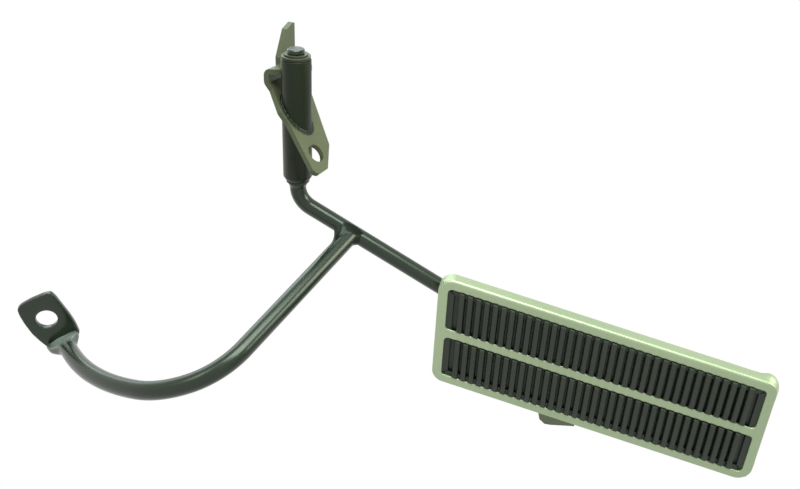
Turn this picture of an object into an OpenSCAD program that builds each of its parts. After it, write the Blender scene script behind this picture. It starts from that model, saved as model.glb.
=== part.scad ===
// Hanging accelerator pedal assembly: a folded steel bracket carries a pivot sleeve, a bent
// pedal rod turns in the sleeve, a throttle lever is welded to the rod, and a ribbed rubber
// pedal with a bright metal frame tilts on the rod's lower end.
// Row frame: X along the pivot axis to the car's right, Y forward, Z up.
// The origin is the middle of the bolt hole, on the bracket's mounting face.

/* [Pivot sleeve] */
// Length of the pivot sleeve
sleeve_length = 60; // [50:1:75]
// Outer diameter of the pivot sleeve
sleeve_od = 14; // [13.4:0.1:16]
// Bore of the pivot sleeve, which holds the bushings
sleeve_bore = 10; // [9.6:0.1:10.6]
// Length of the taper on the sleeve's lower end
sleeve_taper = 2.4; // [1:0.1:4]
// Width of the flat ring left on the tapered end, outside the bore
sleeve_lip = 0.6; // [0.4:0.1:1]

/* [Bushings] */
// Length of each nylon bushing inside its bore
bushing_length = 12; // [6:0.5:18]
// Thickness of a bushing's flange
bushing_flange = 0.8; // [0.6:0.1:1.5]
// Outer diameter of the upper bushing's flange
upper_flange_od = 13; // [12:0.1:13.3]
// Radial running clearance between a shaft and its bushing
running_clearance = 0.05; // [0.02:0.01:0.1]
// Radial clearance of a bushing in the hole that holds it
seat_clearance = 0.02; // [0.01:0.01:0.05]

/* [Pedal rod] */
// Diameter of the pedal rod
rod_d = 8; // [7.6:0.1:8.4]
// Distance from the sleeve's lower end to the corner of the rod's upper bend
bend_reach = 11; // [10:0.5:20]
// Angle of the rod's long leg from the vertical, in degrees
rod_slant = 27.6; // [24:0.1:31]
// Bend radius of the upper bend, on the rod's centre line
upper_bend_r = 12; // [10:0.5:14]
// Bend radius of the lower bend, on the rod's centre line
lower_bend_r = 10; // [8:0.5:12]
// Drop from the pivot axis to the pedal's hinge pin
pin_drop = 134; // [120:1:150]
// Length of the hinge pin's tail past its clip
pin_tail = 1.5; // [1:0.1:3]
// Diameter of the pressed shoulder that rests on the lower bushing
shoulder_d = 9.4; // [9:0.1:10]
// Thickness of the pressed shoulder
shoulder_t = 1.2; // [0.8:0.1:2]
// Diameter at the bottom of the clip grooves
groove_d = 6.2; // [5:0.1:7]
// Height of the rod's head above its clip
head_t = 2; // [1:0.1:3]

/* [Washers and clips] */
// Thickness of the flat washers
washer_t = 0.8; // [0.5:0.1:1.2]
// Outer diameter of the washer on top of the sleeve
head_washer_od = 13.4; // [12:0.1:14]
// Outer diameter of the washer on the hinge pin
pin_washer_od = 12; // [11:0.1:13]
// Thickness of the spring clips
clip_t = 0.7; // [0.5:0.1:1]
// Outer diameter of the spring clips
clip_od = 11; // [10:0.1:12]
// End play at each washer and clip
end_play = 0.1; // [0.05:0.05:0.3]

/* [Bracket] */
// Thickness of the bracket's steel
plate_t = 2.6; // [2.2:0.1:3.2]
// Angle between the bolted leg and the pivot axis, in degrees
plate_angle = 42; // [38:1:45]
// Place along the sleeve where the bolted leg's face crosses the pivot axis, from the middle
crossing_x = 3.5; // [0:0.5:5]
// Distance from that crossing to the bolt hole, along the leg
bolt_reach = 20; // [19:0.5:26]
// Sideways offset of the bolt hole from the pivot axis
bolt_side = 5; // [3:0.5:6]
// Diameter of the bolt hole
bolt_hole_d = 9; // [8:0.1:9.5]
// Radius on the near corner of the leg's end
nose_r = 3.5; // [2:0.5:5]
// Distance from the bolt hole to the leg's end
nose_reach = 9; // [8:0.5:12]
// Inside radius of the bracket's folds
fold_r = 1; // [0.8:0.1:2]
// Width of the leg in front of the pivot axis
leg_near = 8.8; // [8.7:0.1:11]
// Width of the leg behind the pivot axis
leg_far = 18.5; // [17:0.5:18.5]
// Height of the sleeve's end above the bracket's shelf
shelf_drop = 6; // [5:0.1:7]
// Distance from the pivot axis to the outer face of the bracket's side wall
wall_offset = 15.2; // [14.5:0.1:15.6]
// Distance from the pivot axis to the front edge of the side wall and the shelf
shelf_front = 4; // [2:0.5:5]
// Distance from the pivot axis to the back edge of the side wall and the shelf
shelf_back = 19; // [19:0.5:20]
// Length of the slanted corner at the shelf's back
shelf_corner = 8; // [5:0.5:9]
// Slope of the shelf's front edge
shelf_slant = 0.6; // [0.3:0.01:0.7]
// Reach of the shelf past the pivot axis, behind the sleeve
shelf_run = 1; // [0.5:0.5:4]
// Height of the locating tang above the shelf
tang_height = 17; // [10:0.5:22]
// Width of the locating tang at its foot
tang_foot = 13; // [10:0.5:15]
// Width of the locating tang at its tip
tang_tip = 7; // [4:0.5:8]
// Clearance around the sleeve where it passes through the bracket
hole_clearance = 0.1; // [0.05:0.05:0.3]
// Size of the weld bead around the sleeve
bead = 1.6; // [1:0.1:2.5]

/* [Throttle lever] */
// Diameter of the throttle lever
lever_d = 8.7; // [8:0.1:9.5]
// Drop from the pivot axis to the lever's weld on the rod
lever_drop = 28; // [22:0.5:32]
// Angle at which the lever rises from the rod, in degrees
lever_rise = 24.3; // [18:0.1:30]
// Length of the lever's straight part, from the rod's centre line
lever_straight = 82.5; // [70:0.5:95]
// Radii of the lever's three blended bends
lever_radii = [32.6, 53.6, 141.5]; // [20:0.1:160]
// Angles turned in the lever's three blended bends
lever_turns = [49.5, 31.5, 26.3]; // [20:0.1:55]
// Length of the round end before it is flattened
lever_end = 7; // [4:0.5:14]
// Tilt of the lever's plane about Y, in degrees
lever_lean = -21.3; // [-25:0.1:-15]
// Turn of the lever's plane about Z, in degrees
lever_swing = -10.3; // [-14:0.1:-4]
// Turn of the eye about the lever's normal, in degrees
eye_turn = 20; // [0:1:25]
// Length over which the lever's end is flattened
neck_length = 13; // [10:0.5:18]
// Width of the flattened eye
eye_width = 21.5; // [19:0.5:23]
// Thickness of the flattened eye
eye_t = 3.3; // [2.8:0.1:4]
// Diameter of the cable hole in the eye
eye_hole_d = 10.5; // [9:0.1:11]
// Distance from the fold to the middle of the cable hole
eye_reach = 16; // [13:0.5:20]
// Distance from the middle of the cable hole to the tip
eye_tip = 13; // [10:0.5:15]

/* [Pedal pad] */
// Length of the pedal along its side edges
pad_length = 169; // [160:1:180]
// Width of the pedal along its ribs
pad_width = 62; // [58:1:66]
// Slant of the pedal's side edges from its hinge pin's normal, in degrees
pad_skew = 11.8; // [8:0.1:14]
// Corner radius of the metal frame
corner_r = 7; // [5:0.5:10]
// Distance from the hinge pin down to the middle of the pedal
pad_below_pin = 23; // [15:1:30]
// Distance from the pedal's middle line to the pivot axis's middle, at the pedal's middle
pad_offset = 113; // [105:1:120]
// Depth of the hinge pin behind the frame's front face
pin_behind_face = 15; // [14.5:0.5:18]
// Thickness of the frame's sheet
trim_t = 0.8; // [0.5:0.1:1]
// Depth of the frame's side walls
trim_depth = 6.6; // [6.4:0.1:8]
// Depth of the frame's wall along the cut-away middle of its lower end
end_wall = 2.6; // [1.5:0.1:4]
// Width of wall left at each corner of the lower end
end_notch = 14; // [9:0.5:20]
// Width of the frame's side rims
side_rim = 5.3; // [4:0.1:8]
// Width of the frame's end rims
end_rim = 5; // [4:0.1:8]
// Width of the frame's middle bar
bar_w = 5; // [4:0.1:8]

/* [Rubber] */
// Thickness of the rubber sheet under the frame
rubber_t = 3.8; // [3:0.1:4.5]
// Height of the ribs above the frame's face
rib_proud = 1; // [0.5:0.1:2]
// Spacing of the ribs
rib_pitch = 4.25; // [4:0.05:6]
// Width of a rib at its top
rib_top = 2.4; // [1.6:0.1:3]
// Width of a rib at its foot
rib_foot = 3.2; // [2.4:0.1:3.6]
// Depth of the grooves below the frame's face
groove_depth = 2.2; // [1.6:0.1:2.6]
// Flat rubber left at each end of a window, before the first rib
end_margin = 3; // [1:0.5:5]
// Clearance between the rubber and the frame
rubber_gap = 0.2; // [0.1:0.05:0.4]

/* [Pedal back] */
// Thickness of the steel backing plate
backing_t = 1.4; // [1:0.1:2]
// Thickness of the hinge bracket's steel
hinge_t = 2; // [1.5:0.1:2.5]
// Distance between the hinge bracket's ears, inside
hinge_gap = 13; // [11:0.5:14]
// Width of the hinge bracket along the pedal
hinge_width = 20; // [18:0.5:26]
// Radius of steel around the pin hole in an ear
ear_r = 8; // [7:0.5:9]
// Distance from the lower bend's corner to the inner ear
ear_reach = 7.5; // [7.2:0.1:9]
// Outer diameter of the hinge bushings
pin_bushing_od = 10; // [9.6:0.1:11]
// Outer diameter of the hinge bushings' flanges
pin_flange_od = 12.4; // [12:0.1:13]
// Diameter of the rivets in the hinge bracket
rivet_d = 3; // [2.5:0.1:3.5]
// Diameter of the rivets' heads
rivet_head_d = 5.4; // [4.5:0.1:5.6]
// Height of the rivets' heads
rivet_head_h = 1.2; // [0.8:0.1:1.5]
// Distance from the hinge pin to each rivet, along the pedal
rivet_reach = 6.9; // [6.5:0.1:7]
// Reach of the side lug past the frame's edge
lug_reach = 8.8; // [4:0.1:9]
// Length of the side lug along the pedal
lug_length = 20; // [16:0.5:24]

/* [Tilt spring] */
// Wire diameter of the tilt spring
wire_d = 1.4; // [1:0.1:1.6]
// Number of turns of the tilt spring
spring_turns = 4.5; // [3.5:1:5.5]
// Clearance between the spring's coils and the hinge pin
spring_clearance = 0.6; // [0.4:0.1:1]

/* [Rest pose] */
// Angle at which the rod, lever and pedal hang from the bracket, in degrees
arm_lean = 15.2; // [0:0.1:20]

/* [Hidden] */
$fn = 64;

// How far a straight stretch of the rod enters a bend, which is drawn thinner by a hair
lap = 0.3;
bend_thinning = 0.04;

// Sides of the lever's skin, and the steps of each bend
ring_sides = 24;
bend_steps = 9;

// Extra length that a cutting shape runs past the face it cuts
cut = 1;

// Middle of the sleeve in the row frame
pivot_at = [bolt_reach * cos(plate_angle) - crossing_x, bolt_side,
    bolt_reach * sin(plate_angle)];
sleeve_top = sleeve_length / 2;
shaft_hole_d = rod_d + 2 * running_clearance;

// Stack on top of the sleeve, from the sleeve's end outwards, and the shoulder below it
washer_x = sleeve_top + bushing_flange + end_play;
clip_x = washer_x + washer_t + end_play;
head_x = clip_x + clip_t + end_play;
shoulder_x = -sleeve_top - bushing_flange - end_play - shoulder_t;

// Half the room that holds the weld round the sleeve
weld_room = 1.5 * sleeve_od;

// How far inside the side wall the shelf's slanted edge starts
wall_margin = 0.4;

// Bracket: where the leg, the side wall, the shelf and the tang meet their folds
shelf_x = sleeve_top - shelf_drop;
wall_front = wall_offset - plate_t;
leg_run = (wall_front - fold_r * (1 - cos(plate_angle))) / sin(plate_angle);
wall_x = crossing_x + leg_run * cos(plate_angle) + fold_r * sin(plate_angle);
shelf_z = wall_front - fold_r;
fold_x = shelf_x - plate_t - fold_r;
leg_end = -bolt_reach - nose_reach;

// Pedal rod corners, in the plane of the pivot axis and the hinge pin
bend_turn = 90 - rod_slant;
upper_corner = [-sleeve_top - bend_reach, 0];
lower_corner = [upper_corner[0] - pin_drop * tan(rod_slant), -pin_drop];
upper_tangent = upper_bend_r * tan(bend_turn / 2);
lower_tangent = lower_bend_r * tan(bend_turn / 2);
leg_dir = [-sin(rod_slant), -cos(rod_slant)];
leg_start = upper_corner + upper_tangent * leg_dir;
leg_length = norm(lower_corner - upper_corner) - upper_tangent - lower_tangent;

// How far the rubber's layers run into each other, and the grooves past a window's sides
layer_lap = 0.1;
groove_run = 0.5;

// Pedal: depths behind the frame's front face
rubber_back = trim_t + rubber_t;
backing_back = rubber_back + backing_t;
hinge_back = backing_back + hinge_t;
rubber_inset = trim_t + rubber_gap;
skew_run = tan(pad_skew);
half_height = pad_length * cos(pad_skew) / 2;
window_half = half_height - end_rim;
window_w = (pad_width - 2 * side_rim - bar_w) / 2;
window_x = (window_w + bar_w) / 2;
rib_step = rib_pitch * cos(pad_skew);
rib_count = 2 * floor((window_half - end_margin - rib_foot / 2) / rib_step) + 1;
pad_z = -pin_drop - pad_below_pin;

// Hinge: places along the pin, whose free end points to -X
inner_ear_x = lower_corner[0] - ear_reach;
outer_ear_x = inner_ear_x - 2 * hinge_t - hinge_gap;
gap_x = inner_ear_x - hinge_t - hinge_gap / 2;
pin_washer_x = outer_ear_x - bushing_flange - end_play - washer_t;
pin_clip_x = pin_washer_x - end_play - clip_t;
pin_end_x = pin_clip_x - end_play - pin_tail;
coil_r = (rod_d + wire_d) / 2 + spring_clearance;

// Throttle lever: the place and heading after each bend, in the lever's own plane of Y and Z
lever_weld_x = upper_corner[0] - lever_drop * tan(rod_slant);
function heading(i) = i == 0 ? lever_rise : heading(i - 1) + lever_turns[i - 1];
function ahead(a) = [-cos(a), sin(a)];
function inward(a) = [sin(a), cos(a)];
function lever_at(i) = i == 0 ? lever_straight * ahead(lever_rise) :
    lever_at(i - 1) + lever_radii[i - 1] * (inward(heading(i - 1)) - inward(heading(i)));
lever_stop = lever_at(3) + lever_end * ahead(heading(3));
crease = lever_stop + neck_length * ahead(heading(3));

// Moves a shape from the sleeve's middle to its place in the row frame
module at_pivot() {
    translate(pivot_at) children();
}

// Hangs a shape with the pedal rod and everything on it
module on_arm() {
    at_pivot() rotate([arm_lean, 0, 0]) children();
}

// A shape drawn upright along Z, turned to run along X from x
module along_x(x) {
    translate([x, 0, 0]) rotate([0, 90, 0]) children();
}

// A round bar along X between two places
module bar_x(x0, x1, d) {
    along_x(x0) cylinder(h = x1 - x0, d = d);
}

// A flat ring along X
module ring_x(x, t, outer, inner) {
    along_x(x) difference() {
        cylinder(h = t, d = outer);
        translate([0, 0, -cut]) cylinder(h = t + 2 * cut, d = inner);
    }
}

// A flanged bushing along X: its flange lies outside x on the given side, its body inside
module bushing_x(x, side, length, body_d, flange_d) {
    translate([x, 0, 0]) rotate([0, 90 * side, 0]) difference() {
        union() {
            cylinder(h = bushing_flange, d = flange_d);
            translate([0, 0, -length]) cylinder(h = length, d = body_d);
        }
        translate([0, 0, -length - cut])
            cylinder(h = length + bushing_flange + 2 * cut, d = shaft_hole_d);
    }
}

// A spring clip along X: a ring whose mouth opens sideways
module clip_along_x(x) {
    mouth = groove_d * 0.8;
    along_x(x) difference() {
        cylinder(h = clip_t, d = clip_od);
        translate([0, 0, -cut]) cylinder(h = clip_t + 2 * cut, d = groove_d + 0.1);
        translate([-mouth / 2, 0, -cut]) cube([mouth, clip_od, clip_t + 2 * cut]);
    }
}

// Stands a shape on the pedal's face with its depth along Z: depth 0 is the frame's front
// face, and depth grows towards the hinge
module on_pad(depth = 0) {
    on_arm() translate([-pad_offset, depth - pin_behind_face, pad_z])
        rotate([90, 0, 0]) mirror([0, 0, 1]) children();
}

// A leaning band of the pedal, from x0 to x1 across and from z0 to z1 along
module band(x0, x1, z0, z1) {
    polygon([[x0 + z0 * skew_run, z0], [x1 + z0 * skew_run, z0],
        [x1 + z1 * skew_run, z1], [x0 + z1 * skew_run, z1]]);
}

// Points of an arc about a middle, between two angles
function arc_points(middle, r, from, to, steps = 8) = [for (i = [0 : steps])
    let (a = from + (to - from) * i / steps) middle + r * [cos(a), sin(a)]];

// Middle of the pedal's round corner on the side sx and the end sz, each 1 or -1
function corner_middle(sx, sz, inset, r) =
    let (z = sz * (half_height - inset - r))
    [sx * (pad_width / 2 - (inset + r) / cos(pad_skew)) + z * skew_run, z];

// The pedal's outline with round corners, drawn in by the given inset
module pad_outline(inset) {
    r = corner_r - inset;
    polygon(concat(
        arc_points(corner_middle(-1, -1, inset, r), r, 180 - pad_skew, 270),
        arc_points(corner_middle(1, -1, inset, r), r, -90, -pad_skew),
        arc_points(corner_middle(1, 1, inset, r), r, -pad_skew, 90),
        arc_points(corner_middle(-1, 1, inset, r), r, 90, 180 - pad_skew)));
}

// Bracket

// The leg's outline: x runs up the leg from where its face crosses the pivot axis. Past the
// leg it carries on at the side wall's width.
module leg_outline() {
    near_y = -bolt_side - nose_reach;
    polygon(concat([[-leg_near / 4, -leg_near]],
        arc_points([leg_end + nose_r, near_y + nose_r], nose_r, 270, 180),
        [[leg_end, -bolt_side + 0.7], [-bolt_reach, bolt_side + 2.2], [leg_near / 2, leg_far],
        [leg_run, shelf_back + cut], [2 * leg_run, shelf_back + cut],
        [2 * leg_run, -shelf_front], [leg_run - 3, -shelf_front], [leg_near / 2, -leg_near]]));
}

// Everything outside the leg's outline, and the bolt hole, square to the leg
module leg_trim() {
    translate([crossing_x, 0, 0]) rotate([0, -plate_angle, 0])
        translate([0, 0, -sleeve_length]) linear_extrude(height = 2 * sleeve_length) {
            difference() {
                translate([2 * leg_end, -2 * sleeve_od])
                    square([2 * leg_run - cut - 2 * leg_end, 4 * sleeve_od]);
                leg_outline();
            }
            translate([-bolt_reach, -bolt_side]) circle(d = bolt_hole_d);
        }
}

// A point of the leg in X and Z: x up the leg, z through its thickness
function leg_point(x, z) = [crossing_x + x * cos(plate_angle) - z * sin(plate_angle),
    x * sin(plate_angle) + z * cos(plate_angle)];

// The bracket's bent sheet in X and Z: the leg, the side wall and the shelf with their folds
module sheet_section() {
    lower = [wall_x, shelf_z];
    upper = [fold_x, shelf_z];
    polygon(concat(arc_points(lower, fold_r, 90 + plate_angle, 90),
        arc_points(upper, fold_r, 90, 0),
        [[shelf_x - plate_t, -shelf_run], [shelf_x, -shelf_run]],
        arc_points(upper, fold_r + plate_t, 0, 90),
        arc_points(lower, fold_r + plate_t, 90, 90 + plate_angle),
        [leg_point(leg_end - cut, plate_t), leg_point(leg_end - cut, 0)]));
}

// The shelf's front edge in Y, at a place along Z
function shelf_edge(z) = -shelf_front + (shelf_z - wall_margin - z) * shelf_slant;

// The bent sheet, cut to the leg's outline, with the shelf's slanted edge and cut corner
module bracket_sheet() {
    end_z = -shelf_run - cut;
    wide = 1.5 * sleeve_od;
    difference() {
        rotate([90, 0, 0]) translate([0, 0, -shelf_back])
            linear_extrude(height = shelf_back + wide) sheet_section();
        leg_trim();
        translate([wall_x, 0, 0]) rotate([90, 0, 90]) linear_extrude(height = shelf_x) {
            polygon([[shelf_edge(wall_offset), wall_offset], [shelf_edge(end_z), end_z],
                [-2 * wide, end_z], [-2 * wide, wall_offset]]);
            polygon([[shelf_back - shelf_corner, end_z], [shelf_back + cut, end_z],
                [shelf_back + cut, end_z + shelf_corner]]);
        }
    }
}

// The locating tang, which carries the side wall on past the shelf
module bracket_tang() {
    front = shelf_back - tang_foot;
    top = shelf_x + tang_height;
    translate([0, 0, wall_front]) linear_extrude(height = plate_t)
        polygon([[fold_x, front], [shelf_x + plate_t, front],
            [top - 2.5, shelf_back - tang_tip], [top - 0.3, shelf_back - 1.5],
            [top - 0.8, shelf_back], [fold_x, shelf_back]]);
}

module bracket_plate() {
    color("dimgray") at_pivot() difference() {
        union() {
            bracket_sheet();
            bracket_tang();
        }
        bar_x(-sleeve_length, sleeve_length, sleeve_od + 2 * hole_clearance);
    }
}

module pivot_sleeve() {
    color("darkslategray") at_pivot() difference() {
        union() {
            bar_x(-sleeve_top + sleeve_taper, sleeve_top, sleeve_od);
            along_x(-sleeve_top)
                cylinder(h = sleeve_taper, d1 = sleeve_bore + 2 * sleeve_lip, d2 = sleeve_od);
        }
        bar_x(-sleeve_top - cut, sleeve_top + cut, sleeve_bore);
    }
}

// Weld bead round the sleeve, laid on the front of the leg
module sleeve_weld() {
    color("slategray") at_pivot() intersection() {
        ring_x(-sleeve_top, sleeve_length, sleeve_od + 2 * bead, sleeve_od);
        translate([crossing_x, 0, 0]) rotate([0, -plate_angle, 0])
            translate([-weld_room, -weld_room, -bead]) cube([2 * weld_room, 2 * weld_room, bead]);
    }
}

module upper_bushing() {
    color("ivory") at_pivot() bushing_x(sleeve_top, 1, bushing_length,
        sleeve_bore - 2 * seat_clearance, upper_flange_od);
}

module lower_bushing() {
    color("ivory") at_pivot() bushing_x(-sleeve_top, -1, bushing_length,
        sleeve_bore - 2 * seat_clearance, sleeve_bore + 2 * sleeve_lip);
}

// Pedal rod

// One bend of the rod in the plane of X and Z, about a middle, from one angle onwards
module rod_bend(middle, r, from) {
    translate([middle[0], 0, middle[1]]) rotate([90, 0, 0]) rotate([0, 0, from])
        rotate_extrude(angle = bend_turn) translate([r, 0]) circle(d = rod_d - bend_thinning);
}

// The rod's long leg between the bends, which it enters by the lap at both ends
module rod_leg() {
    translate([leg_start[0], 0, leg_start[1]]) rotate([0, 180 + rod_slant, 0])
        translate([0, 0, -lap]) cylinder(h = leg_length + 2 * lap, d = rod_d);
}

module pedal_rod() {
    color("darkslategray") on_arm() {
        bar_x(upper_corner[0] + upper_tangent - lap, clip_x, rod_d);
        bar_x(clip_x - cut, head_x, groove_d);
        bar_x(head_x, head_x + head_t, rod_d);
        bar_x(shoulder_x, shoulder_x + shoulder_t, shoulder_d);
        rod_bend([upper_corner[0] + upper_tangent, -upper_bend_r], upper_bend_r, 90);
        rod_leg();
        rod_bend([lower_corner[0] - lower_tangent, -pin_drop + lower_bend_r], lower_bend_r, 270);
        translate([0, 0, -pin_drop]) {
            bar_x(pin_clip_x + clip_t + end_play, lower_corner[0] - lower_tangent + lap, rod_d);
            bar_x(pin_clip_x - end_play, pin_clip_x + clip_t + end_play, groove_d);
            bar_x(pin_end_x, pin_clip_x - end_play, rod_d);
        }
    }
}

module thrust_washer() {
    color("silver") on_arm() ring_x(washer_x, washer_t, head_washer_od, shaft_hole_d);
}

module head_clip() {
    color("gray") on_arm() clip_along_x(clip_x);
}

// Throttle lever

// Places a shape in the lever's plane, whose start is the weld on the rod
module on_lever() {
    on_arm() translate([lever_weld_x, 0, -lever_drop])
        rotate([0, 0, lever_swing]) rotate([0, lever_lean, 0]) children();
}

// Places a shape at a point of the lever's path, with Z along the given heading
module lever_place(at, a) {
    translate([0, at[0], at[1]]) rotate([90 - a, 0, 0]) children();
}

// A point of bend i of the lever, turned by t from its start
function bend_point(i, t) = lever_at(i) + lever_radii[i] *
    (inward(heading(i)) - inward(heading(i) + t));

// One ring of the lever's skin: half its thickness, half its width, and how square it is
function lever_ring(at, a, thick, wide, square) = [for (k = [0 : ring_sides - 1])
    let (c = cos(360 * k / ring_sides), s = sin(360 * k / ring_sides),
        across = wide * sign(s) * pow(abs(s), square))
    [thick * sign(c) * pow(abs(c), square), at[0] + across * sin(a), at[1] + across * cos(a)]];

// A ring of the neck, which flattens as s runs from 0 to 1
function neck_ring(s) = let (f = s * s * (3 - 2 * s), a = heading(3))
    lever_ring(lever_stop + neck_length * s * ahead(a), a, lever_d / 2 * (1 - f) + eye_t / 2 * f,
        lever_d / 2 * (1 - f) + (eye_width / 2 - 2.3) * f, 1 - 0.6 * f);

// A skin through rings of equally many points, closed at both ends
module skin(rings, sides) {
    count = len(rings);
    polyhedron(points = [for (r = rings) each r],
        faces = concat([[for (k = [0 : sides - 1]) k]],
            [for (i = [0 : count - 2]) for (k = [0 : sides - 1]) let (n = (k + 1) % sides)
                [sides * i + k, sides * (i + 1) + k, sides * (i + 1) + n, sides * i + n]],
            [[for (k = [sides - 1 : -1 : 0]) sides * (count - 1) + k]]));
}

// The eye's outline: x out from the crease, y across, with a slanted tip
module eye_outline() {
    w = eye_width / 2;
    tip = eye_reach + eye_tip;
    difference() {
        polygon([[0, -w + 2.3], [eye_reach * 0.4, -w + 0.8], [eye_reach * 0.75, -w],
            [eye_reach + 3, -w + 0.3], [eye_reach + 8.5, -w + 1.6], [tip - 1.6, -w + 5],
            [tip, 0], [tip - 0.2, w - 5], [tip - 1.2, w - 1.6], [tip - 4, w - 0.4],
            [eye_reach * 0.75, w], [eye_reach * 0.4, w - 0.4], [0, w - 1.6]]);
        translate([eye_reach, 0]) circle(d = eye_hole_d);
    }
}

module throttle_lever() {
    color("darkslategray") difference() {
        on_lever() {
            skin(concat([lever_ring([0, 0], lever_rise, lever_d / 2, lever_d / 2, 1)],
                [for (i = [0 : 2]) for (j = [i == 0 ? 0 : 1 : bend_steps]) lever_ring(
                    bend_point(i, lever_turns[i] * j / bend_steps),
                    heading(i) + lever_turns[i] * j / bend_steps, lever_d / 2, lever_d / 2, 1)],
                [for (s = [0 : 0.125 : 1.05]) neck_ring(s)]), ring_sides);
            lever_place(crease, heading(3) + eye_turn) translate([-eye_t / 2, 0, 0])
                linear_extrude(height = eye_t) eye_outline();
        }
        on_arm() rod_leg();
    }
}

module lever_weld() {
    color("slategray") difference() {
        on_lever() lever_place([0, 0], lever_rise)
            cylinder(h = rod_d / 2 + 2, d = lever_d + 2 * bead);
        on_lever() lever_place([0, 0], lever_rise)
            cylinder(h = lever_straight, d = lever_d + 2 * seat_clearance);
        on_arm() rod_leg();
    }
}

// Pedal

module pad_trim() {
    color("silver") on_pad() {
        difference() {
            linear_extrude(height = trim_depth) pad_outline(0);
            translate([0, 0, trim_t]) linear_extrude(height = trim_depth)
                pad_outline(trim_t);
            for (s = [-1, 1]) translate([0, 0, -cut]) linear_extrude(height = trim_t + 2 * cut)
                band(s * window_x - window_w / 2, s * window_x + window_w / 2,
                    -window_half, window_half);
            // The lower end's wall is cut away between its two corners
            translate([-half_height * skew_run - pad_width / 2 + end_notch,
                -half_height - cut, end_wall])
                cube([pad_width - 2 * end_notch, 3, trim_depth]);
            // Slot in the side wall for the backing plate's lug
            translate([-pad_width, pad_below_pin - lug_length, rubber_back - rubber_gap])
                cube([pad_width, lug_length + 6, trim_depth]);
        }
    }
}

module rubber_pad() {
    color("black") on_pad() {
        translate([0, 0, groove_depth]) linear_extrude(height = rubber_back - groove_depth)
            pad_outline(rubber_inset);
        translate([0, 0, trim_t]) linear_extrude(height = groove_depth + layer_lap - trim_t)
            difference() {
                pad_outline(rubber_inset);
                for (s = [-1, 1]) band(s * window_x - window_w / 2 - groove_run,
                    s * window_x + window_w / 2 + groove_run, -window_half + end_margin,
                    window_half - end_margin);
            }
        for (s = [-1, 1]) for (i = [0 : rib_count - 1])
            rib(s, (i - (rib_count - 1) / 2) * rib_step);
    }
}

// One rib of a window, standing on the grooves' floor
module rib(s, z) {
    half = window_w / 2 - rubber_gap;
    height = groove_depth + layer_lap + rib_proud;
    translate([s * window_x + z * skew_run - half, z, groove_depth + layer_lap])
        rotate([0, 90, 0]) linear_extrude(height = 2 * half)
            polygon([[0, -rib_foot / 2], [height, -rib_top / 2],
                [height, rib_top / 2], [0, rib_foot / 2]]);
}

// The side lug by the hinge pin, which reaches past the frame's edge
module lug_outline() {
    edge = -pad_width / 2 + pad_below_pin * skew_run;
    top = pad_below_pin + 4;
    polygon([[edge + 8, top], [edge + 1, top], [edge - lug_reach + 2.5, top - 2],
        [edge - lug_reach, top - 5], [edge - lug_reach, top - 8],
        [edge - 3 - lug_length * skew_run, top - lug_length],
        [edge + 8, top - lug_length]]);
}

module backing_plate() {
    color("gray") on_pad(rubber_back) difference() {
        union() {
            linear_extrude(height = backing_t) pad_outline(rubber_inset);
            linear_extrude(height = backing_t) lug_outline();
        }
        for (s = [-1, 1]) translate([rivet_x(), s * rivet_reach + pad_below_pin, -cut])
            cylinder(h = backing_t + 2 * cut, d = rivet_d);
    }
}

function rivet_x() = gap_x + pad_offset;

module hinge_bracket() {
    ear_depth = pin_behind_face - backing_back;
    x0 = outer_ear_x + pad_offset;
    x1 = inner_ear_x + pad_offset;
    color("gray") difference() {
        on_pad(backing_back) {
            translate([x0, pad_below_pin - hinge_width / 2, 0]) cube([x1 - x0, hinge_width, hinge_t]);
            for (x = [x0, x1 - hinge_t]) {
                translate([x, pad_below_pin - ear_r, 0]) cube([hinge_t, 2 * ear_r, ear_depth]);
                translate([x, pad_below_pin, ear_depth]) rotate([0, 90, 0])
                    cylinder(h = hinge_t, r = ear_r);
            }
        }
        on_arm() translate([0, 0, -pin_drop]) bar_x(outer_ear_x - cut, inner_ear_x + cut, pin_bushing_od);
        on_pad(backing_back) for (s = [-1, 1]) translate([rivet_x(), s * rivet_reach + pad_below_pin, -cut])
            cylinder(h = hinge_t + 2 * cut, d = rivet_d);
    }
}

module hinge_rivets() {
    color("silver") on_pad(rubber_back) for (s = [-1, 1])
        translate([rivet_x(), s * rivet_reach + pad_below_pin, 0]) {
            cylinder(h = backing_t + hinge_t, d = rivet_d - 2 * seat_clearance);
            translate([0, 0, backing_t + hinge_t])
                cylinder(h = rivet_head_h, d1 = rivet_head_d, d2 = rivet_head_d - 1);
        }
}

module inner_hinge_bushing() {
    color("ivory") on_arm() translate([0, 0, -pin_drop]) bushing_x(inner_ear_x, 1, hinge_t,
        pin_bushing_od - 2 * seat_clearance, pin_flange_od);
}

module outer_hinge_bushing() {
    color("ivory") on_arm() translate([0, 0, -pin_drop]) bushing_x(outer_ear_x, -1, hinge_t,
        pin_bushing_od - 2 * seat_clearance, pin_flange_od);
}

// Points of one ring of wire, about a place, across a heading
function wire_ring(at, u, v) = [for (k = [0 : 11]) at + wire_d / 2 * (cos(30 * k) * u + sin(30 * k) * v)];

module tilt_spring() {
    steps = round(spring_turns * 24);
    span = spring_turns * (wire_d + 0.3);
    color("dimgray") on_arm() translate([0, 0, -pin_drop])
        skin([for (i = [0 : steps]) let (a = 90 + 360 * spring_turns * i / steps)
            wire_ring([gap_x + span * (i / steps - 0.5), coil_r * cos(a), coil_r * sin(a)],
                [1, 0, 0], [0, cos(a), sin(a)])], 12);
}

module pin_washer() {
    color("silver") on_arm() translate([0, 0, -pin_drop])
        ring_x(pin_washer_x, washer_t, pin_washer_od, shaft_hole_d);
}

module pin_clip() {
    color("gray") on_arm() translate([0, 0, -pin_drop]) clip_along_x(pin_clip_x);
}

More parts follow.
